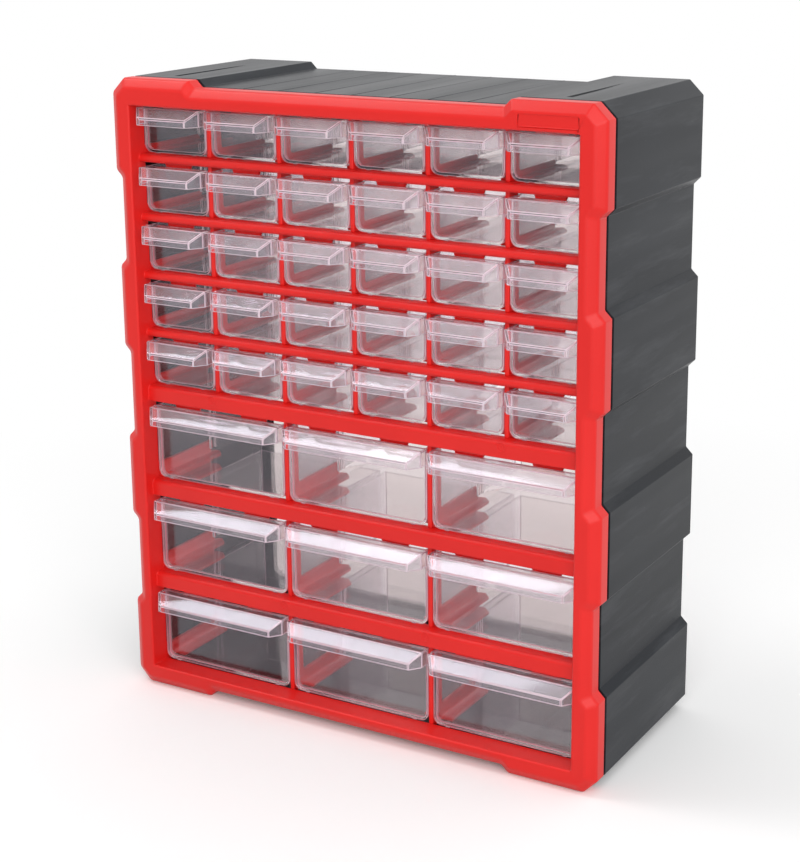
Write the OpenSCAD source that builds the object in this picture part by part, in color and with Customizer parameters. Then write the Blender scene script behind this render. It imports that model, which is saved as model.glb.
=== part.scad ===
// Parts bin cabinet: a dark four-sided housing open at the back, a red front frame with rails
// across it, a row of dividers and guides behind each rail, and clear drawers that slide out
// towards the front.
// X runs across the cabinet, Y from front to back and Z up. The origin is the centre of the base.

/* [Cabinet] */
// Width over the side pads
cabinet_w = 380; // [350:1:420]
// Height over the feet and the top pads
cabinet_h = 456; // [440:1:520]
// Depth from the front of the frame to the back edge of the housing
cabinet_d = 160; // [155:1:200]

/* [Outline] */
// Leg of the 45 degree corner chamfer
corner_cut = 10; // [6:0.5:14]
// Step between a raised pad and the panel beside it, sloped at 45 degrees
pad_step = 5; // [2:0.5:6]
// Width of each foot and top pad, from the corner chamfer inwards
foot_w = 56; // [30:1:80]
// Height from one step of the side to the next
side_pitch = 64; // [50:1:66]

/* [Housing] */
// Thickness of the housing's walls
housing_wall = 2.8; // [2:0.1:4]
// Thickness of the spigot that enters the frame
spigot_t = 2.3; // [1.5:0.1:2.8]
// Length of the spigot inside the frame's rim
spigot_l = 8; // [5:0.5:9]
// Open joint between the frame's rim and the housing's front edge
joint_gap = 2.2; // [1:0.1:4]
// Width of the ramped groove in each top pad
groove_w = 4; // [2:0.5:6]
// Length of the ramped groove
groove_l = 88; // [40:1:110]
// Depth of the groove at its front end
groove_depth = 1.5; // [0.5:0.1:2]
// Distance of the groove's front end behind the frame's front
groove_setback = 30; // [24:1:40]

/* [Front frame] */
// Depth of the frame's rim
rim_depth = 16; // [14:0.5:20]
// Width of the bevel round the frame's front
bevel_w = 6.8; // [3:0.1:7]
// Depth of that bevel
bevel_d = 5; // [2:0.1:5.5]
// Thickness of the frame's rim
rim_wall = 2.2; // [1.6:0.1:3]
// Thickness of the frame's front
face_wall = 5.6; // [5.6:0.1:7]
// Width of each side member, from the side pad to the drawers' opening
jamb_w = 17.3; // [16:0.1:22]
// Height of the top member, down to the top row of cells
head_h = 17.4; // [16.5:0.1:24]
// How far the top member's front hangs in front of that row
head_lip = 1.4; // [0:0.1:2]
// Height of the bottom member
sill_h = 16; // [15.5:0.1:24]
// Thickness of the walls that line the opening
liner_wall = 2.4; // [1.8:0.1:3]
// Depth of the walls that line the opening
liner_depth = 17; // [16:0.5:18]
// Length of the shallow badge recess
badge_l = 42; // [20:1:46]
// Height of the badge recess
badge_h = 8; // [5:0.5:8.5]
// Depth of the badge recess
badge_depth = 0.6; // [0.2:0.1:1.5]
// Radius of the recess's corners
badge_r = 1.5; // [0.5:0.1:3]

/* [Grid] */
// Clear height of a small drawer's cell
small_cell_h = 36.5; // [32:0.5:38]
// Height of a rail between small drawers
small_rail_h = 5.8; // [4:0.1:7]
// Height of a rail above a large drawer
large_rail_h = 13; // [9:0.5:15]
// Thickness of a divider between two drawers
divider_t = 3.2; // [2:0.1:4]
// Distance of the dividers' front faces behind the frame's front
divider_setback = 16; // [14:0.5:18]
// Depth of a divider's full-height web
web_d = 12.7; // [8:0.1:16]
// Radius in the corner between a web and its guide
web_fillet = 3; // [1:0.5:5]
// Distance of the rails' noses behind the frame's front
rail_setback = 9.3; // [7:0.1:12]
// How far a large rail's nose stands in front of a small rail's
large_rail_lead = 1; // [0:0.1:2]
// Rounding of a large rail's upper front edge
rail_round = 3; // [1:0.5:4]

/* [Guides and stops] */
// Length of a guide, from the dividers' front faces backwards
guide_l = 66; // [50:1:75]
// Height of a guide's web above a rail between small drawers
small_guide_h = 5.5; // [3:0.5:8]
// Height of a guide's web above a large rail
large_guide_h = 11; // [6:0.5:14]
// Width of a guide's flange beside its web
flange_w = 9.5; // [6:0.5:12]
// Thickness of a guide's flange
flange_t = 2.2; // [1.6:0.1:3]
// Length that a flange runs on behind its web
flange_run_on = 6; // [2:0.5:8]
// Share of a flange's width that is cut off at its free rear corners
flange_cut = 0.6; // [0.2:0.1:0.6]
// Width of a stop tab where it leaves its rail
tab_w = 24; // [16:0.5:30]
// Height of a stop tab
tab_h = 5; // [4.6:0.1:5.5]
// Thickness of a stop tab
tab_t = 2.4; // [1.6:0.1:3]
// How much a stop tab narrows at each end towards its lower edge
tab_slope = 2; // [0:0.5:4]

/* [Drawers] */
// Length of a drawer, from the lip of its handle to its back
drawer_l = 148; // [140:1:150]
// Thickness of a drawer's walls and floor
drawer_wall = 1.6; // [1.2:0.1:2.2]
// Thickness of a drawer's front panel
panel_t = 1.8; // [1.4:0.1:2.4]
// Radius of a drawer's lower edges
drawer_round = 6; // [3:0.5:8]
// Gap between a drawer and the dividers beside it
side_gap = 0.65; // [0.4:0.05:1]
// Gap between a drawer's upper edge and the rail above
top_gap = 3.3; // [2.8:0.1:3.8]
// Height of the two nubs under a drawer's front
nub_h = 0.6; // [0.4:0.1:1]
// Width of a nub
nub_w = 3; // [2:0.5:5]
// Distance of a nub from the side of its drawer
nub_inset = 11; // [9:0.5:14]
// Running clearance between a drawer and what carries or stops it
run_gap = 0.3; // [0.2:0.05:0.5]
// Width of a rib beside the slot for a loose partition
rib_w = 3; // [2:0.5:4]
// Width of that slot
slot_w = 3; // [1.5:0.5:4]
// Height of a rib over the drawer's wall
rib_h = 1.4; // [0.8:0.1:2]

/* [Handles] */
// Depth of the handle's flat top, with the panel
strip_d = 9.8; // [7:0.1:12]
// Height of the handle
handle_h = 11.5; // [9:0.1:14]
// Drop from the flat top to the lip
label_drop = 6; // [4:0.1:7]
// Distance that the handle's ends draw in towards the lip
handle_taper = 6; // [3:0.5:9]
// Thickness of the handle's walls
handle_wall = 1.5; // [1:0.1:2]

/* [Hidden] */
$fn = 48;
eps = 0.01;
// Length by which two shapes of one piece run into each other
lap = 1;

small_rows = 5;
small_cols = 6;
large_rows = 3;
large_cols = 3;
// Small columns that one large drawer spans
span = small_cols / large_cols;

frame_red = [0.93, 0.12, 0.11];
housing_grey = [0.27, 0.28, 0.29];
clear_plastic = [0.86, 0.82, 0.85, 0.45];

// Number of steps up each side
side_steps = 6;
// How far a 45 degree corner moves along its side for each millimetre of inset
miter = sqrt(2) - 1;
half_w = cabinet_w / 2;
foot_in = half_w - corner_cut - foot_w;

// The opening and its cells
open_half = half_w - jamb_w;
open_top = cabinet_h - head_h;
open_bottom = sill_h;
small_cell_w = (2 * open_half - (small_cols - 1) * divider_t) / small_cols;
col_pitch = small_cell_w + divider_t;
large_cell_w = span * col_pitch - divider_t;
small_pitch = small_cell_h + small_rail_h;
large_top = open_top - small_rows * small_pitch + small_rail_h - large_rail_h;
large_pitch = (large_top - open_bottom + large_rail_h) / large_rows;
large_cell_h = large_pitch - large_rail_h;

// Depths behind the frame's front
panel_y = divider_setback;
tab_y = panel_y + panel_t + run_gap + 0.1;
rail_back = tab_y + tab_t;
web_back = divider_setback + web_d;
guide_back = divider_setback + guide_l;
housing_y = rim_depth + joint_gap;
drawer_back = drawer_l;

// What the drawers stand on lies a nub's height above the rails
seat_h = nub_h;
drawer_lift = seat_h + run_gap;
small_drawer_h = small_cell_h - top_gap - drawer_lift;
large_drawer_h = large_cell_h - top_gap - drawer_lift;
small_drawer_w = small_cell_w - 2 * side_gap;
large_drawer_w = large_cell_w - 2 * side_gap;

// Height of the top of a small drawer's cell in row r, counted from the top
function small_cell_top(r) = open_top - (r - 1) * small_pitch;
function small_cell_floor(r) = small_cell_top(r) - small_cell_h;
// The same for a large drawer's row
function large_cell_top(r) = large_top - (r - 1) * large_pitch;
function large_cell_floor(r) = large_cell_top(r) - large_cell_h;
// Centre of a column of small or large cells
function small_x(c) = (c - (small_cols + 1) / 2) * col_pitch;
function large_x(c) = (c - (large_cols + 1) / 2) * span * col_pitch;

// ---- The stepped outline, drawn in by an inset ----

// Height of the middle of step j of the side, counted from the bottom
function step_z(j) = cabinet_h / 2 + (j - (side_steps - 1) / 2) * side_pitch;

// Two corners of step j: even steps go in on the way up, odd ones come out
function step_points(j, i) =
    let (out = half_w - i, in = half_w - pad_step - i, z = step_z(j), d = pad_step / 2, m = miter * i)
    j % 2 == 0 ? [[out, z - d - m], [in, z + d - m]] : [[in, z - d + m], [out, z + d + m]];

function right_points(i, cut) = concat(
    [[half_w - i, i + cut]],
    [for (j = [0:side_steps - 1]) for (p = step_points(j, i)) p],
    [[half_w - i, cabinet_h - i - cut]]
);

function base_points(i, cut) =
    let (x = foot_in + miter * i)
    [
        [-(half_w - i - cut), i],
        [-x, i],
        [-(x - pad_step), pad_step + i],
        [x - pad_step, pad_step + i],
        [x, i],
        [half_w - i - cut, i]
    ];

function mirror_x(points) = [for (k = [len(points) - 1:-1:0]) [-points[k][0], points[k][1]]];
function turn_over(points) = [for (k = [len(points) - 1:-1:0]) [points[k][0], cabinet_h - points[k][1]]];

// The whole outline, inset by i, counter-clockwise as seen from the front
function outline(i) =
    let (cut = corner_cut - (2 - sqrt(2)) * i)
    concat(
        base_points(i, cut),
        right_points(i, cut),
        turn_over(base_points(i, cut)),
        mirror_x(right_points(i, cut))
    );

// ---- Drawing helpers ----

// A flat shape (x, z) drawn out from depth y0 to depth y1
module along_y(y0, y1) {
    translate([0, y1, 0])
        rotate([90, 0, 0])
            linear_extrude(y1 - y0) children();
}

// A flat shape (y, z) drawn out from x0 to x1
module along_x(x0, x1) {
    translate([x0, 0, 0])
        rotate([90, 0, 90])
            linear_extrude(x1 - x0) children();
}

module outline_prism(i, y0, y1) {
    along_y(y0, y1) polygon(outline(i));
}

// Faces that fill the outline: strips from side to side, and one face for each foot and top pad.
// They list the corners of outline() by number, counter-clockwise as seen from the front.
function outline_faces() =
    let (
        foot = 6,
        side = 2 + 2 * side_steps,
        top = foot + side,
        last = 2 * top - 1
    )
    concat(
        [[0, 1, 2, last], [4, 5, foot, 3], [2, 3, foot, last]],
        [for (k = [foot:top - 2]) [last + foot - k, k, k + 1, last + foot - k - 1]],
        [[top + foot, top - 1, top + 2, top + 3]],
        [[top - 1, top, top + 1, top + 2], [top + 3, top + 4, top + 5, top + foot]]
    );

function reversed(list) = [for (k = [len(list) - 1:-1:0]) list[k]];

// The rim as one solid: the outline widens over the bevel and then runs straight back
module bevelled_block() {
    front = [for (p = outline(bevel_w)) [p[0], 0, p[1]]];
    shoulder = [for (p = outline(0)) [p[0], bevel_d, p[1]]];
    back = [for (p = outline(0)) [p[0], rim_depth, p[1]]];
    n = len(front);
    polyhedron(
        points = concat(front, shoulder, back),
        faces = concat(
            [for (f = outline_faces()) reversed(f)],
            [for (f = outline_faces()) [for (k = f) 2 * n + k]],
            [for (ring = [0, n]) for (k = [0:n - 1])
                let (next = (k + 1) % n)
                [ring + k, ring + next, ring + n + next, ring + n + k]]
        )
    );
}

// ---- Housing ----

// The wedge that cuts a ramped groove into a top pad, deep at its front end
module groove_wedge() {
    along_x(-groove_w / 2, groove_w / 2)
        polygon([
            [groove_setback, cabinet_h - groove_depth],
            [groove_setback + groove_l, cabinet_h],
            [groove_setback + groove_l, cabinet_h + 1],
            [groove_setback, cabinet_h + 1]
        ]);
}

module housing_shell() {
    spigot_in = rim_wall + run_gap;
    difference() {
        union() {
            outline_prism(0, housing_y, cabinet_d);
            outline_prism(spigot_in, rim_depth - spigot_l, housing_y + eps);
        }
        outline_prism(spigot_in + spigot_t, -1, cabinet_d / 2);
        outline_prism(housing_wall, housing_y + spigot_t, cabinet_d + 1);
        for (s = [-1, 1])
            translate([s * (foot_in + foot_w / 2), 0, 0]) groove_wedge();
    }
}

module housing() {
    color(housing_grey)
        translate([0, -cabinet_d / 2, 0])
            housing_shell();
}

// ---- Front frame ----

module opening(margin, y0, y1) {
    translate([-open_half - margin, y0, open_bottom - margin])
        cube([2 * (open_half + margin), y1 - y0, open_top - head_lip - open_bottom + 2 * margin]);
}

module badge_recess() {
    r = badge_r;
    x0 = open_half - badge_l;
    z0 = open_top + (head_h - bevel_w - badge_h) / 2;
    along_y(-1, badge_depth)
        union() {
            translate([x0 + r, z0]) square([badge_l - 2 * r, badge_h]);
            translate([x0, z0 + r]) square([badge_l, badge_h - 2 * r]);
            for (x = [x0 + r, x0 + badge_l - r], z = [z0 + r, z0 + badge_h - r])
                translate([x, z]) circle(r);
        }
}

// The ring round the drawers, hollow at the back so that the housing's spigot can enter
module bezel() {
    difference() {
        bevelled_block();
        difference() {
            outline_prism(rim_wall, face_wall, rim_depth + 1);
            opening(liner_wall, 0, rim_depth + 2);
        }
        opening(0, -1, rim_depth + 1);
        badge_recess();
    }
    difference() {
        opening(liner_wall, face_wall, liner_depth);
        opening(0, 0, liner_depth + 1);
    }
}

// A trapezoid that hangs from a rail's underside at z, and stops a drawer both ways
module stop_tab(x, z) {
    along_y(tab_y, rail_back)
        polygon([
            [x - tab_w / 2, z + lap],
            [x - tab_w / 2, z],
            [x - tab_w / 2 + tab_slope, z - tab_h],
            [x + tab_w / 2 - tab_slope, z - tab_h],
            [x + tab_w / 2, z],
            [x + tab_w / 2, z + lap]
        ]);
}

module stop_tabs(z) {
    for (c = [1:small_cols]) stop_tab(small_x(c), z);
}

module small_rail(z_top) {
    r = small_rail_h / 2;
    along_x(-open_half, open_half)
        union() {
            translate([rail_setback + r, z_top - r]) circle(r);
            translate([rail_setback + r, z_top - small_rail_h])
                square([rail_back - rail_setback - r, small_rail_h]);
        }
}

// A large rail is a channel, open at the back
module large_rail(z_top) {
    y0 = rail_setback - large_rail_lead;
    z0 = z_top - large_rail_h;
    along_x(-open_half, open_half)
        difference() {
            union() {
                translate([y0 + rail_round, z_top - rail_round]) circle(rail_round);
                translate([y0, z0]) square([rail_back - y0, large_rail_h - rail_round]);
                translate([y0 + rail_round, z0]) square([rail_back - y0 - rail_round, large_rail_h]);
            }
            translate([y0 + liner_wall, z0 + liner_wall])
                square([rail_back, large_rail_h - 2 * liner_wall]);
        }
}

// A flange of a guide, seen from above: its free corners are cut at the back
module flange_plan(left, right) {
    y1 = guide_back + flange_run_on;
    x0 = -divider_t / 2 - left;
    x1 = divider_t / 2 + right;
    cut_l = left * flange_cut;
    cut_r = right * flange_cut;
    polygon([
        [x0, web_back - lap],
        [x1, web_back - lap],
        [x1, y1 - cut_r],
        [x1 - cut_r, y1],
        [x0 + cut_l, y1],
        [x0, y1 - cut_l]
    ]);
}

module flange(x, z_top, left, right) {
    translate([x, 0, z_top - flange_t])
        linear_extrude(flange_t) flange_plan(left, right);
}

// One divider's web in a cell, with its rounded corner down to the guide behind it
module divider_web(x, z0, z1, guide_h) {
    along_x(x - divider_t / 2, x + divider_t / 2)
        union() {
            translate([divider_setback, z0]) square([web_d, z1 - z0]);
            difference() {
                translate([web_back - eps, z0]) square([web_fillet, guide_h + web_fillet]);
                translate([web_back + web_fillet, z0 + guide_h + web_fillet]) circle(web_fillet);
            }
        }
}

// A guide behind a rail, from depth y0: its web rises beside the drawers above, its upper flange
// carries them and its lower flange holds the drawers below down
module guide(x, y0, z_rail, rail_h, guide_h, left, right, lower) {
    along_x(x - divider_t / 2, x + divider_t / 2)
        translate([y0, z_rail - rail_h])
            square([guide_back - y0, rail_h + guide_h]);
    flange(x, z_rail + seat_h, left, right);
    if (lower)
        flange(x, z_rail - rail_h + flange_t, left, right);
}

// The dividers of one row, each with the guide behind the rail below it, and the guides at the jambs
module divider_row(z0, z1, rail_h, guide_h, cols, lower) {
    pitch = small_cols / cols * col_pitch;
    for (k = [1:cols - 1]) {
        x = (k - cols / 2) * pitch;
        union() {
            divider_web(x, z0, z1, guide_h);
            guide(x, rail_back, z0, rail_h, guide_h, flange_w, flange_w, lower);
        }
    }
    jamb_x = open_half + divider_t / 2;
    guide(-jamb_x, liner_depth, z0, rail_h, guide_h, 0, flange_w, lower);
    guide(jamb_x, liner_depth, z0, rail_h, guide_h, flange_w, 0, lower);
}

module small_divider_row(r) {
    last = r == small_rows;
    rail_h = last ? large_rail_h : small_rail_h;
    divider_row(small_cell_floor(r), small_cell_top(r), rail_h, small_guide_h, small_cols, last);
}

module large_divider_row(r) {
    last = r == large_rows;
    rail_h = last ? liner_wall : large_rail_h;
    divider_row(large_cell_floor(r), large_cell_top(r), rail_h, large_guide_h, large_cols, !last);
}

module dividers(r) {
    color(frame_red)
        translate([0, -cabinet_d / 2, 0])
            if (r <= small_rows) small_divider_row(r);
            else large_divider_row(r - small_rows);
}

module small_rails() {
    for (r = [1:small_rows - 1]) {
        z0 = small_cell_floor(r);
        small_rail(z0);
        stop_tabs(z0 - small_rail_h);
    }
}

module large_rails() {
    for (r = [1:large_rows]) {
        z1 = large_cell_top(r);
        large_rail(z1 + large_rail_h);
        stop_tabs(z1);
    }
}

// The strip above the top row that its stop tabs hang from
module lintel() {
    y0 = liner_depth - 2 * lap;
    translate([-open_half - liner_wall, y0, open_top])
        cube([2 * (open_half + liner_wall), rail_back - y0, liner_wall]);
    stop_tabs(open_top);
}

module front_frame() {
    color(frame_red)
        translate([0, -cabinet_d / 2, 0])
            union() {
                bezel();
                lintel();
                small_rails();
                large_rails();
            }
}

// ---- Drawers ----

// A drawer's cross-section, with rounded lower corners
module tray_profile(w, h, r) {
    union() {
        translate([-w / 2, r]) square([w, h - r]);
        translate([-w / 2 + r, 0]) square([w - 2 * r, h]);
        for (s = [-1, 1])
            translate([s * (w / 2 - r), r]) circle(r);
    }
}

module tray(w, h) {
    inner_w = w - 2 * drawer_wall;
    difference() {
        along_y(panel_y, drawer_back) tray_profile(w, h, drawer_round);
        translate([0, 0, drawer_wall])
            along_y(panel_y + panel_t, drawer_back - drawer_wall)
                tray_profile(inner_w, h, drawer_round - drawer_wall);
    }
}

// A pair of ribs on each side wall, which a loose partition can slide between
module partition_ribs(w, h) {
    mid = (panel_y + drawer_back) / 2;
    z_low = drawer_round;
    for (s = [-1, 1], t = [-1, 1])
        translate([s * (w / 2 - drawer_wall - rib_h / 2), mid + t * (slot_w + rib_w) / 2, 0])
            along_x(-rib_h / 2 - (s < 0 ? eps : 0), rib_h / 2 + (s > 0 ? eps : 0))
                union() {
                    translate([0, z_low]) circle(rib_w / 2);
                    translate([-rib_w / 2, z_low]) square([rib_w, h - z_low]);
                }
}

module nubs(w) {
    for (s = [-1, 1])
        translate([s * (w / 2 - nub_inset) - nub_w / 2, panel_y, -nub_h])
            cube([nub_w, panel_t, nub_h + drawer_wall]);
}

// The handle's body: a block across the panel and a wedge that narrows to the lip
module handle_body(w, h, inset) {
    strip_y = panel_y + panel_t - strip_d + inset;
    lip_y = inset;
    z_low = h - handle_h;
    top = h - inset;
    half = w / 2 - inset;
    lip_half = w / 2 - handle_taper - inset;
    intersection() {
        along_x(-half, half)
            polygon([
                [lip_y, z_low - inset],
                [lip_y, top - label_drop],
                [strip_y, top],
                [panel_y + panel_t - inset, top],
                [panel_y + panel_t - inset, z_low - inset]
            ]);
        translate([0, 0, z_low - 1 - inset])
            linear_extrude(handle_h + 2 + inset)
                polygon([
                    [-lip_half, lip_y],
                    [lip_half, lip_y],
                    [half, strip_y],
                    [half, panel_y + panel_t - inset],
                    [-half, panel_y + panel_t - inset],
                    [-half, strip_y]
                ]);
    }
}

// The handle is hollow and open below
module handle(w, h) {
    difference() {
        handle_body(w, h, 0);
        difference() {
            handle_body(w, h, handle_wall);
            translate([-w / 2, panel_y, 0]) cube([w, panel_t + 1, h + 1]);
        }
    }
}

module drawer(w, h) {
    color(clear_plastic)
        union() {
            tray(w, h);
            handle(w, h);
            nubs(w);
            partition_ribs(w, h);
        }
}

module small_drawer(r, c) {
    translate([small_x(c), -cabinet_d / 2, small_cell_floor(r) + drawer_lift])
        drawer(small_drawer_w, small_drawer_h);
}

module large_drawer(r, c) {
    translate([large_x(c), -cabinet_d / 2, large_cell_floor(r) + drawer_lift])
        drawer(large_drawer_w, large_drawer_h);
}

housing();
front_frame();
for (r = [1:small_rows + large_rows])
    dividers(r);
for (r = [1:small_rows], c = [1:small_cols])
    small_drawer(r, c);
for (r = [1:large_rows], c = [1:large_cols])
    large_drawer(r, c);
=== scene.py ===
"""Parts bin cabinet: a charcoal housing, a red front frame and clear drawers.

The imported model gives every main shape. This script dresses it: rounded edges, plastics with
their grain, small moulded details, studio light, floor and camera.
"""

import math

import bpy
import bmesh
from mathutils import Matrix, Quaternion, Vector


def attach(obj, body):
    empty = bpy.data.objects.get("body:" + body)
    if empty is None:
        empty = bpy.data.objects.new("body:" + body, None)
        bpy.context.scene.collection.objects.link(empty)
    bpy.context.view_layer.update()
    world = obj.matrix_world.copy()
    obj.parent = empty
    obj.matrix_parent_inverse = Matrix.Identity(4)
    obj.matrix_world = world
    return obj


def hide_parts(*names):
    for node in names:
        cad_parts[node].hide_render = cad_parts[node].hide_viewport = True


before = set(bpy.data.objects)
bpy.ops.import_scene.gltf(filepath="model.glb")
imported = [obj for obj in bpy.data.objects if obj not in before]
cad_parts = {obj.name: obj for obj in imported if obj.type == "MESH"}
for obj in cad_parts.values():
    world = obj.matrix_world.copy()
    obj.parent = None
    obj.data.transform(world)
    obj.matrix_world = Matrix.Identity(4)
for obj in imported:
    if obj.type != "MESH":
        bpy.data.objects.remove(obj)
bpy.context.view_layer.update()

MM = 0.001

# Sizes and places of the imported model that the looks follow, in millimetres
HOUSING_TOP = 451.0
CELLS_TOP, SILL_TOP = 438.6, 16.0
SMALL_ROWS, LARGE_ROWS = 5, 3
SMALL_RAIL, LARGE_RAIL = 5.8, 13.0
SMALL_PITCH = 36.5 + SMALL_RAIL
RIM_BEVEL_BACK = -75.0
SMALL_RAIL_FRONT, LARGE_RAIL_FRONT = -70.7, -71.7
LARGE_RAIL_SLOPE = 2.4
PANEL_FRONT = -64.0

WELD = 0.01 * MM


# ---- Node helpers ----

def new_material(name):
    material = bpy.data.materials.new(name)
    material.use_nodes = True
    tree = material.node_tree
    tree.nodes.clear()
    return material, tree


def add_node(tree, kind, inputs=None, **settings):
    """A node with its settings, and with numbers or links for its inputs, by name or number."""
    node = tree.nodes.new(kind)
    for key, value in settings.items():
        setattr(node, key, value)
    for key, value in (inputs or {}).items():
        connect(tree, value, node.inputs[key])
    return node


def connect(tree, value, socket):
    """Links another node's output to the socket, or writes a number or a colour into it."""
    if isinstance(value, bpy.types.NodeSocket):
        tree.links.new(value, socket)
    elif socket.type == "RGBA" and len(value) == 3:
        socket.default_value = (*value, 1)
    else:
        socket.default_value = value


def noise(tree, scale, stretch=(1, 1, 1), detail=3.0, roughness=0.55):
    """Noise in the part's own metres, with stretch giving the scale along each axis."""
    place = add_node(tree, "ShaderNodeTexCoord").outputs["Object"]
    place = add_node(tree, "ShaderNodeMapping", {"Vector": place, "Scale": stretch}).outputs["Vector"]
    node = add_node(tree, "ShaderNodeTexNoise", {
        "Vector": place, "Scale": scale, "Detail": detail, "Roughness": roughness})
    return node.outputs["Fac"]


def map_range(tree, value, low, high, from_low=0.0, from_high=1.0):
    """Goes from low to high while value goes from from_low to from_high, and stays inside them."""
    node = add_node(tree, "ShaderNodeMapRange", {
        "Value": value, "From Min": from_low, "From Max": from_high, "To Min": low, "To Max": high})
    return node.outputs["Result"]


def mixed_colour(tree, factor, colour_a, colour_b):
    node = add_node(tree, "ShaderNodeMix", {0: factor, 6: colour_a, 7: colour_b}, data_type="RGBA")
    return node.outputs[2]


def maths(tree, operation, a, b=0.0):
    return add_node(tree, "ShaderNodeMath", {0: a, 1: b}, operation=operation).outputs[0]


def bump(tree, height, strength, distance):
    node = add_node(tree, "ShaderNodeBump", {
        "Strength": strength, "Distance": distance, "Height": height})
    return node.outputs["Normal"]


def face_direction(tree):
    """The surface's own direction, as three numbers."""
    place = add_node(tree, "ShaderNodeTexCoord")
    parts = add_node(tree, "ShaderNodeSeparateXYZ", {"Vector": place.outputs["Normal"]})
    return parts.outputs


def finish_material(tree, surface):
    add_node(tree, "ShaderNodeOutputMaterial", {"Surface": surface})


def lets_light_through(tree, surface, tint):
    """Lamps shine through the surface, so that what is behind clear plastic stays bright."""
    passing = add_node(tree, "ShaderNodeBsdfTransparent", {"Color": tint})
    path = add_node(tree, "ShaderNodeLightPath")
    mix = add_node(tree, "ShaderNodeMixShader", {
        0: path.outputs["Is Shadow Ray"], 1: surface, 2: passing.outputs["BSDF"]})
    return mix.outputs["Shader"]


# ---- Materials ----

def red_plastic():
    """Glossy red plastic, with a faint flow in its colour and a fine grain."""
    material, tree = new_material("red_moulded_plastic")
    flow = noise(tree, 9.0, detail=2)
    grain = noise(tree, 1800, detail=2)
    shader = add_node(tree, "ShaderNodeBsdfPrincipled", {
        "Base Color": mixed_colour(tree, map_range(tree, flow, 0, 1, 0.35, 0.65),
                                   (0.745, 0.012, 0.010), (0.81, 0.016, 0.013)),
        "Roughness": map_range(tree, flow, 0.33, 0.43),
        "IOR": 1.5,
        "Specular IOR Level": 0.38,
        "Normal": bump(tree, grain, 0.12, 0.00012),
    })
    finish_material(tree, shader.outputs["BSDF"])
    return material


def charcoal_plastic():
    """Dark grey plastic, with flow bands from front to back, rubbed patches and specks of dust."""
    material, tree = new_material("charcoal_moulded_plastic")
    cloud = noise(tree, 7, detail=2)
    colour = mixed_colour(tree, map_range(tree, cloud, 0, 1, 0.3, 0.7),
                          (0.009, 0.010, 0.013), (0.014, 0.016, 0.021))
    bands = noise(tree, 26, (1, 0.06, 1), detail=3)
    colour = mixed_colour(tree, map_range(tree, bands, 0, 0.6, 0.5, 0.75),
                          colour, (0.006, 0.007, 0.009))
    rubbed = noise(tree, 60, (1, 0.12, 1), detail=4, roughness=0.7)
    colour = mixed_colour(tree, map_range(tree, rubbed, 0, 0.6, 0.52, 0.72),
                          colour, (0.050, 0.053, 0.060))
    specks = noise(tree, 420, detail=1)
    colour = mixed_colour(tree, map_range(tree, specks, 0, 0.5, 0.80, 0.86),
                          colour, (0.30, 0.31, 0.32))
    grain = noise(tree, 1300, detail=3)
    shader = add_node(tree, "ShaderNodeBsdfPrincipled", {
        "Base Color": colour,
        "Roughness": map_range(tree, bands, 0.22, 0.50),
        "IOR": 1.5,
        "Specular IOR Level": 0.17,
        "Specular Tint": (0.85, 0.92, 1.0),
        "Normal": bump(tree, grain, 0.2, 0.0002),
    })
    finish_material(tree, shader.outputs["BSDF"])
    return material


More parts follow.
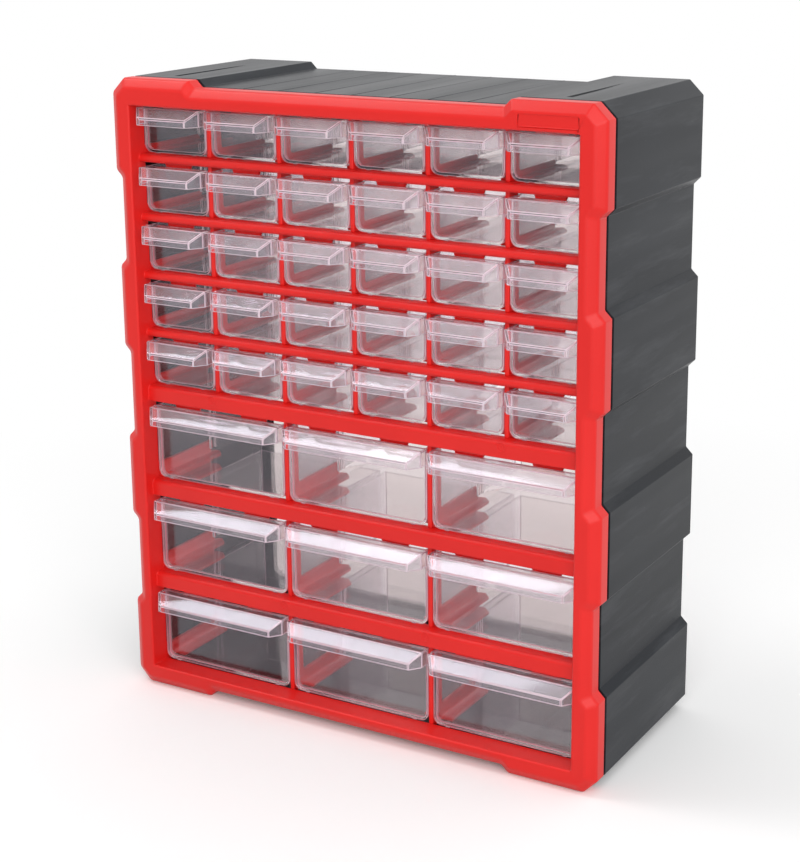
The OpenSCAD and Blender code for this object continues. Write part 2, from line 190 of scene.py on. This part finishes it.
def clear_plastic():
    """Clear polystyrene, faintly pink, with cloudy label strips on the handles' slopes."""
    material, tree = new_material("clear_moulded_plastic")
    # Where on a drawer the surface is, from its direction and from how far back it lies
    direction = face_direction(tree)
    up = map_range(tree, direction["Z"], 0, 1, 0.6, 0.7)
    forward = map_range(tree, direction["Y"], 1, 0, -0.5, -0.35)
    slope = maths(tree, "MULTIPLY", up, forward)
    front_or_back = maths(tree, "ABSOLUTE", direction["Y"])
    panel = map_range(tree, front_or_back, 0, 1, 0.85, 0.95)
    wall = map_range(tree, front_or_back, 1, 0, 0.5, 0.8)
    floor = map_range(tree, maths(tree, "ABSOLUTE", direction["Z"]), 0, 1, 0.55, 0.65)
    place = add_node(tree, "ShaderNodeTexCoord").outputs["Object"]
    depth_in = add_node(tree, "ShaderNodeSeparateXYZ", {"Vector": place}).outputs["Y"]
    handle = map_range(tree, depth_in, 1, 0, (PANEL_FRONT - 0.8) * MM, (PANEL_FRONT - 0.2) * MM)
    # The first millimetres of the walls behind the front panel get a painted reflection: pink, cloudy
    # colour in place of the light they gather from the red frame
    near_panel = map_range(tree, depth_in, 1, 0, (PANEL_FRONT + 3) * MM, (PANEL_FRONT + 6) * MM)
    painted_frame_glow = maths(tree, "MULTIPLY", maths(tree, "MULTIPLY", wall, near_panel),
                   maths(tree, "SUBTRACT", 1.0, handle))
    clouds = noise(tree, 22, detail=2)
    cloudy = maths(tree, "MULTIPLY", slope, map_range(tree, clouds, 0.03, 0.10, 0.3, 0.7))
    cloudy = maths(tree, "ADD", cloudy, maths(tree, "MULTIPLY", handle, 0.012))
    cloudy = maths(tree, "ADD", cloudy, maths(tree, "MULTIPLY", painted_frame_glow, 0.7))
    colour = mixed_colour(tree, panel, (0.965, 0.915, 0.950), (0.850, 0.795, 0.780))
    colour = mixed_colour(tree, handle, colour, (0.95, 0.91, 0.945))
    # Painted reflection: the red frame's light painted pink onto the wall strips just behind the
    # panel
    colour = mixed_colour(tree, painted_frame_glow, colour, (0.90, 0.40, 0.50))
    # Light that is caught inside the walls comes out again, pale
    depth = add_node(tree, "ShaderNodeLightPath").outputs["Ray Depth"]
    caught = map_range(tree, depth, 0.003, 0.45, 4.0, 10.0)
    ripple = noise(tree, 35, detail=1)
    shader = add_node(tree, "ShaderNodeBsdfPrincipled", {
        "Base Color": colour,
        "Specular IOR Level": 0.31,
        "Specular Tint": (0.86, 0.85, 0.97),
        "IOR": 1.5,
        "Transmission Weight": maths(tree, "SUBTRACT", 1.0, maths(tree, "ADD", cloudy, caught)),
        "Alpha": map_range(tree, depth, 1.0, 0.3, 2.5, 6.0),
        "Roughness": maths(tree, "ADD", map_range(tree, ripple, 0.01, 0.04),
                           maths(tree, "MULTIPLY", slope, 0.05)),
        "Normal": bump(tree, ripple, map_range(tree, floor, 0.03, 0.002), 0.0004),
    })
    finish_material(tree, lets_light_through(tree, shader.outputs["BSDF"], (0.88, 0.84, 0.87)))
    return material


def painted_edge_glow():
    """The rounded edges of clear plastic, made pale and cloudy as a painted highlight for the light
    they gather.
    """
    material, tree = new_material("clear_plastic_edge_painted_glow")
    glints = noise(tree, 150, detail=2)
    shader = add_node(tree, "ShaderNodeBsdfPrincipled", {
        "Base Color": (0.80, 0.67, 0.75),
        "IOR": 1.5,
        "Transmission Weight": map_range(tree, glints, 0.05, 0.2),
        "Roughness": 0.25,
    })
    finish_material(tree, lets_light_through(tree, shader.outputs["BSDF"], (0.90, 0.86, 0.89)))
    return material


RED = red_plastic()
CHARCOAL = charcoal_plastic()
CLEAR = clear_plastic()
CLEAR_EDGE_PAINTED_GLOW = painted_edge_glow()


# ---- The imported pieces: materials, rounded edges ----

def even_shading_group():
    """Smooth shading all over; the rounded edges then keep the flat faces flat."""
    tree = bpy.data.node_groups.new("even_shading", "GeometryNodeTree")
    tree.interface.new_socket("Geometry", in_out="INPUT", socket_type="NodeSocketGeometry")
    tree.interface.new_socket("Geometry", in_out="OUTPUT", socket_type="NodeSocketGeometry")
    mesh = add_node(tree, "NodeGroupInput").outputs["Geometry"]
    mesh = add_node(tree, "GeometryNodeRemoveAttribute",
                    {"Geometry": mesh, "Name": "custom_normal"}).outputs["Geometry"]
    for domain in ("FACE", "EDGE"):
        smooth = add_node(tree, "GeometryNodeSetShadeSmooth",
                          {"Geometry": mesh, "Shade Smooth": True}, domain=domain)
        mesh = smooth.outputs["Geometry"]
    add_node(tree, "NodeGroupOutput", {"Geometry": mesh})
    return tree


EVEN_SHADING = even_shading_group()


def round_edges(obj, width, segments, angle=None, arcs=True):
    """Rounds the edges sharper than angle, in degrees, or without it those that carry a weight.
    With arcs, the roundings run on round the corners at their full width."""
    rounding = obj.modifiers.new("edges", "BEVEL")
    rounding.width = width
    rounding.segments = segments
    rounding.limit_method = "ANGLE" if angle else "WEIGHT"
    if angle:
        rounding.angle_limit = math.radians(angle)
    if arcs:
        rounding.use_clamp_overlap = False
        rounding.loop_slide = False
        rounding.miter_outer = "MITER_ARC"
    return rounding


def keep_faces_flat(obj):
    """Lets the large faces set the shading, and the roundings follow."""
    normals = obj.modifiers.new("normals", "WEIGHTED_NORMAL")
    normals.weight = 50


def dress(obj, material, edge, edge_material=None):
    """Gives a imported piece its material, and rounds its edges without touching its own mesh."""
    obj.data.materials.clear()
    obj.data.materials.append(material)
    weld = obj.modifiers.new("weld", "WELD")
    weld.merge_threshold = WELD
    even = obj.modifiers.new("even", "NODES")
    even.node_group = EVEN_SHADING
    rounding = round_edges(obj, edge, 2, angle=32)
    # On the drawers the roundings get the pale edge material, a painted highlight
    if edge_material:
        obj.data.materials.append(edge_material)
        rounding.material = 1
    keep_faces_flat(obj)


def opening_levels():
    """The heights of the undersides of the large rails, in millimetres."""
    top = CELLS_TOP - SMALL_ROWS * SMALL_PITCH + SMALL_RAIL - LARGE_RAIL
    pitch = (top - SILL_TOP + LARGE_RAIL) / LARGE_ROWS
    return [top - row * pitch for row in range(LARGE_ROWS)]


def raise_undersides(form):
    """Raises the undersides of the large rails at the front."""
    rise, reach = 1.6, 0.2
    for level in opening_levels():
        for depth, height in ((LARGE_RAIL_FRONT, level),
                              (LARGE_RAIL_FRONT + LARGE_RAIL_SLOPE, level + LARGE_RAIL_SLOPE)):
            for vert in form.verts:
                if abs(vert.co.y / MM - depth) < reach and abs(vert.co.z / MM - height) < reach:
                    vert.co.z += rise * MM


def weigh_edges(form):
    """Writes how wide each sharp edge of the frame is rounded, as a share of its rim's rounding.
    The rim's edges are narrower beside the badge, the other edges narrower still, and the badge's
    own the narrowest."""
    sharp = math.radians(20)
    badge_x, badge_z = (129, 173), (440.5, 449.5)
    beside_x, beside_z = 115, 430
    weight = form.edges.layers.float.new("bevel_weight_edge")
    for edge in form.edges:
        if len(edge.link_faces) != 2 or edge.calc_face_angle(0) < sharp:
            continue
        ends = [vert.co / MM for vert in edge.verts]
        if all(badge_x[0] < co.x < badge_x[1] and badge_z[0] < co.z < badge_z[1] for co in ends):
            edge[weight] = 0.12
        elif not all(co.y < RIM_BEVEL_BACK + 0.1 for co in ends):
            edge[weight] = 0.35
        elif all(co.x > beside_x and co.z > beside_z for co in ends):
            edge[weight] = 0.55
        else:
            edge[weight] = 1.0


def clean_frame(node):
    """The front frame with whole flat faces, wider roundings on its rim, and large rails whose
    undersides rise towards the front, so that the notches between their tabs show."""
    mesh = node.data.copy()
    form = bmesh.new()
    form.from_mesh(mesh)
    bmesh.ops.remove_doubles(form, verts=form.verts, dist=WELD)
    area = sum(face.calc_area() for face in form.faces)
    # Cuts through the grid's middle and through the badge leave no flat face with a hole in it
    for place in (0.0, 150 * MM):
        everything = form.verts[:] + form.edges[:] + form.faces[:]
        cut = bmesh.ops.bisect_plane(form, geom=everything, dist=1e-7,
                                     plane_co=(place, 0, 0), plane_no=(1, 0, 0))["geom_cut"]
        for part in cut:
            if isinstance(part, bmesh.types.BMEdge):
                part.seam = True
    bmesh.ops.dissolve_limit(form, angle_limit=math.radians(0.3), use_dissolve_boundaries=False,
                             verts=form.verts[:], edges=form.edges[:], delimit={"SEAM"})
    if abs(sum(face.calc_area() for face in form.faces) / area - 1) > 0.001:
        raise RuntimeError("the flat faces of the front frame lost or gained area")
    raise_undersides(form)
    weigh_edges(form)
    form.to_mesh(mesh)
    form.free()
    attribute = mesh.attributes.get("custom_normal")
    if attribute:
        mesh.attributes.remove(attribute)
    mesh.shade_smooth()
    mesh.materials.clear()
    mesh.materials.append(RED)
    piece = bpy.data.objects.new("front_frame_moulding", mesh)
    bpy.context.scene.collection.objects.link(piece)
    round_edges(piece, 1.7 * MM, 3)
    keep_faces_flat(piece)
    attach(piece, "cabinet")
    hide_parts("front_frame")


def add_piece(name, verts, faces, material):
    """A piece in millimetres that belongs to the cabinet."""
    mesh = bpy.data.meshes.new(name)
    mesh.from_pydata([Vector(vert) * MM for vert in verts], [], faces)
    form = bmesh.new()
    form.from_mesh(mesh)
    loose = [vert for vert in form.verts if not vert.link_faces]
    bmesh.ops.delete(form, geom=loose, context="VERTS")
    bmesh.ops.recalc_face_normals(form, faces=form.faces)
    form.to_mesh(mesh)
    form.free()
    mesh.shade_smooth()
    mesh.materials.append(material)
    piece = bpy.data.objects.new(name, mesh)
    bpy.context.scene.collection.objects.link(piece)
    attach(piece, "cabinet")
    return piece


def ring(name, x, y, z, radius, tube, curve=0.0):
    """A round moulding mark on the front of a rail, half sunk in it. Where the rail's front is a
    round nose, curve is its radius."""
    around, along, flatness = 36, 8, 0.7
    verts, faces = [], []
    for i in range(around):
        turn = 2 * math.pi * i / around
        for j in range(along):
            out = 2 * math.pi * j / along
            reach = radius + tube * math.cos(out)
            rise = reach * math.sin(turn)
            back = rise * rise / (2 * curve) if curve else 0.0
            verts.append((x + reach * math.cos(turn),
                          y + back - flatness * tube * math.sin(out), z + rise))
            here, there = i * along, (i + 1) % around * along
            faces.append((here + j, here + (j + 1) % along, there + (j + 1) % along, there + j))
    add_piece(name, verts, faces, RED)


def moulding_marks():
    """The round marks that the photograph shows on two large rails and on the second small rail."""
    above_underside = 9.0
    for label, x, row in (("upper_left", -116.2, 0), ("upper_right", 116.2, 0),
                          ("lower_left", -58.1, 2), ("lower_right", 58.1, 2)):
        z = opening_levels()[row] + above_underside
        ring("mark_" + label, x, LARGE_RAIL_FRONT, z, 3.1, 0.42)
        ring("mark_%s_centre" % label, x, LARGE_RAIL_FRONT, z, 1.3, 0.26)
    rail_middle = CELLS_TOP - 2 * SMALL_PITCH + SMALL_RAIL / 2
    above_middle = 0.1
    for label, x in (("left", -57.97), ("right", 57.97)):
        ring("small_mark_" + label, x, SMALL_RAIL_FRONT, rail_middle + above_middle, 1.35, 0.28,
             curve=SMALL_RAIL / 2)


def top_ridges():
    """Faint ridges that run from front to back on the housing's top."""
    front, back, pitch = -61.5, 79.4, 28.95
    half_foot, half_crest = 0.9, 0.35
    low, high = HOUSING_TOP - 0.1, HOUSING_TOP + 0.16
    profile = ((-half_foot, low), (-half_crest, high), (half_crest, high), (half_foot, low))
    faces = [(0, 1, 5, 4), (1, 2, 6, 5), (2, 3, 7, 6), (3, 0, 4, 7), (0, 3, 2, 1), (4, 5, 6, 7)]
    for k in range(-3, 4):
        verts = [(k * pitch + dx, y, z) for y in (front, back) for dx, z in profile]
        ridge = add_piece("top_ridge_%d" % (k + 4), verts, faces, CHARCOAL)
        round_edges(ridge, 0.12 * MM, 2, angle=20, arcs=False)


def rear_rim():
    """The inward rim round the open back. The photograph shows its bottom and left parts through
    the drawers."""
    front, back = 77.2, 79.3
    # The outline, half way into the housing's walls
    side, low, high, step, corner_cut = 188.6, 1.4, 454.6, 5.0, 9.2
    foot, recess_l = 124.6, 60.2
    wall = [(0.0, low + step), (foot - step, low + step), (foot, low), (side - corner_cut, low),
            (side, low + corner_cut)]
    for z in (64.9, 193.0, 320.9):
        wall += [(side, z), (side - step, z + step), (side - step, z + step + recess_l),
                 (side, z + recess_l + 2 * step)]
    wall += [(side, high - corner_cut), (side - corner_cut, high), (foot, high),
             (foot - step, high - step), (0.0, high - step)]
    # The opening, with its rounded corners
    opening_side, opening_low, opening_high, corner_r = 166.5, 37.0, 419.0, 6.0
    inside = [(0.0, opening_high)]
    for z, start in ((opening_high - corner_r, 90), (opening_low + corner_r, 0)):
        for k in range(7):
            turn = math.radians(start - 15 * k)
            inside.append((opening_side - corner_r + corner_r * math.cos(turn),
                           z + corner_r * math.sin(turn)))
    inside.append((0.0, opening_low))
    # Two halves that meet at x = 0, so that no face has a hole in it
    half = wall + inside
    points = half + [(-x, z) for x, z in half]
    count, total = len(half), 2 * len(half)
    mirror = [i if half[i][0] == 0 else i + count for i in range(count)]
    faces = []
    for loop in (list(range(count)), mirror):
        faces += [tuple(loop), tuple(total + i for i in loop)]
        for here, there in zip(loop, loop[1:] + loop[:1]):
            if points[here][0] or points[there][0]:
                faces.append((here, there, total + there, total + here))
    verts = [(x, y, z) for y in (front, back) for x, z in points]
    rim = add_piece("rear_rim", verts, faces, CHARCOAL)
    rounding = round_edges(rim, 0.5 * MM, 2, angle=60, arcs=False)
    rounding.use_clamp_overlap = False
    keep_faces_flat(rim)


clean_frame(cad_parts["front_frame"])
rear_rim()
moulding_marks()
top_ridges()
for name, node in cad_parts.items():
    if name == "front_frame":
        continue
    if "drawer" in name:
        dress(node, CLEAR, 0.35 * MM, CLEAR_EDGE_PAINTED_GLOW)
    elif name == "housing":
        dress(node, CHARCOAL, 0.5 * MM)
    else:
        dress(node, RED, 0.6 * MM)


# ---- Floor, light, camera ----

def seen_as_background(tree):
    """1 for the rays that show the background: the camera's, and those off gloss or through glass."""
    path = add_node(tree, "ShaderNodeLightPath").outputs
    either = maths(tree, "MAXIMUM", path["Is Glossy Ray"], path["Is Transmission Ray"])
    return maths(tree, "MAXIMUM", path["Is Camera Ray"], either)


def build_floor():
    """A warm pale floor. The camera sees it white, with the object's shadow, and further off its
    white comes from itself."""
    mesh = bpy.data.meshes.new("floor")
    half = 12.0
    mesh.from_pydata([(-half, -half, 0), (half, -half, 0), (half, half, 0), (-half, half, 0)], [],
                     [(0, 1, 2, 3)])
    floor = bpy.data.objects.new("floor", mesh)
    bpy.context.scene.collection.objects.link(floor)
    material, tree = new_material("pale_floor")
    speckle = noise(tree, 40)
    paper = mixed_colour(tree, speckle, (0.66, 0.62, 0.585), (0.68, 0.64, 0.605))
    colour = mixed_colour(tree, seen_as_background(tree), paper, (1, 1, 1))
    shader = add_node(tree, "ShaderNodeBsdfPrincipled", {
        "Base Color": colour,
        "Roughness": 0.9,
        "Specular IOR Level": 0.1,
        "Emission Color": (1, 1, 1),
        "Emission Strength": maths(tree, "MULTIPLY", seen_as_background(tree), 0.06),
    })
    place = add_node(tree, "ShaderNodeTexCoord")
    away = add_node(tree, "ShaderNodeVectorMath", {0: place.outputs["Object"]}, operation="LENGTH")
    fade = map_range(tree, away.outputs["Value"], 0, 1, 0.32, 0.8)
    white = add_node(tree, "ShaderNodeEmission", {"Color": (1, 1, 1), "Strength": 1.0})
    mix = add_node(tree, "ShaderNodeMixShader", {
        0: maths(tree, "MULTIPLY", fade, seen_as_background(tree)),
        1: shader.outputs["BSDF"], 2: white.outputs["Emission"]})
    finish_material(tree, mix.outputs["Shader"])
    mesh.materials.append(material)


def build_world():
    """A pale studio, brighter behind, to the right and overhead; the camera sees it white."""
    world = bpy.data.worlds.new("studio")
    bpy.context.scene.world = world
    world.use_nodes = True
    tree = world.node_tree
    tree.nodes.clear()
    place = add_node(tree, "ShaderNodeTexCoord")
    toward = add_node(tree, "ShaderNodeSeparateXYZ", {"Vector": place.outputs["Generated"]}).outputs
    level = maths(tree, "MULTIPLY_ADD", toward["Y"], 0.25)
    level.node.inputs[2].default_value = 0.6
    level = maths(tree, "ADD", level, maths(tree, "MULTIPLY", toward["X"], 0.2))
    level = maths(tree, "ADD", level, maths(tree, "MULTIPLY", toward["Z"], 0.1))
    lit = add_node(tree, "ShaderNodeBackground", {"Color": (1, 1, 1), "Strength": level})
    seen = add_node(tree, "ShaderNodeBackground", {"Color": (1, 1, 1), "Strength": 1.0})
    mix = add_node(tree, "ShaderNodeMixShader", {
        0: seen_as_background(tree), 1: lit.outputs["Background"], 2: seen.outputs["Background"]})
    add_node(tree, "ShaderNodeOutputWorld", {"Surface": mix.outputs["Shader"]})


def add_softbox(name, place, target, size, power, turn=0.0):
    """A rectangular lamp that shines at target, turned round its own beam by turn, in degrees."""
    light = bpy.data.lights.new(name, "AREA")
    light.shape = "RECTANGLE"
    light.size, light.size_y = size
    light.energy = power
    lamp = bpy.data.objects.new(name, light)
    bpy.context.scene.collection.objects.link(lamp)
    lamp.location = place
    lamp.rotation_mode = "QUATERNION"
    aim = (Vector(target) - Vector(place)).to_track_quat("-Z", "Y")
    lamp.rotation_quaternion = aim @ Quaternion((0, 0, 1), math.radians(turn))


def build_camera():
    """The photograph's camera, fitted to the outline and the grid, with part of its lens shift."""
    azimuth, elevation, roll = (math.radians(a) for a in (30.61, 14.17, -0.58))
    place = Vector((636.9, -1079.3, 584.3)) * MM
    focal_px, image_h, axis_y = 1820.6, 862, 345
    ahead = Vector((-math.sin(azimuth) * math.cos(elevation),
                    math.cos(azimuth) * math.cos(elevation),
                    -math.sin(elevation)))
    level = Vector((math.cos(azimuth), math.sin(azimuth), 0))
    upright = level.cross(ahead)
    right = math.cos(roll) * level + math.sin(roll) * upright
    up = math.cos(roll) * upright - math.sin(roll) * level
    camera = bpy.data.objects.new("camera", bpy.data.cameras.new("camera"))
    bpy.context.scene.collection.objects.link(camera)
    turned = Matrix((right, up, -ahead)).transposed().to_4x4()
    camera.matrix_world = Matrix.Translation(place) @ turned
    camera.data.sensor_width = 36
    camera.data.lens = focal_px / image_h * camera.data.sensor_width
    camera.data.shift_y = -(image_h / 2 - axis_y) / image_h
    camera.data.clip_start = 0.01
    camera.data.clip_end = 100
    bpy.context.scene.camera = camera


build_floor()
build_world()
add_softbox("overhead", place=(-1.2365, -0.398, 2.1), target=(0, 0, 0.2), size=(0.9, 0.66),
            power=11.5, turn=45)
add_softbox("front_right", place=(1.2, -1.7, 1.2), target=(0, 0, 0.2), size=(2.0, 2.0), power=28.5)
build_camera()
bpy.context.scene.view_settings.view_transform = "Standard"
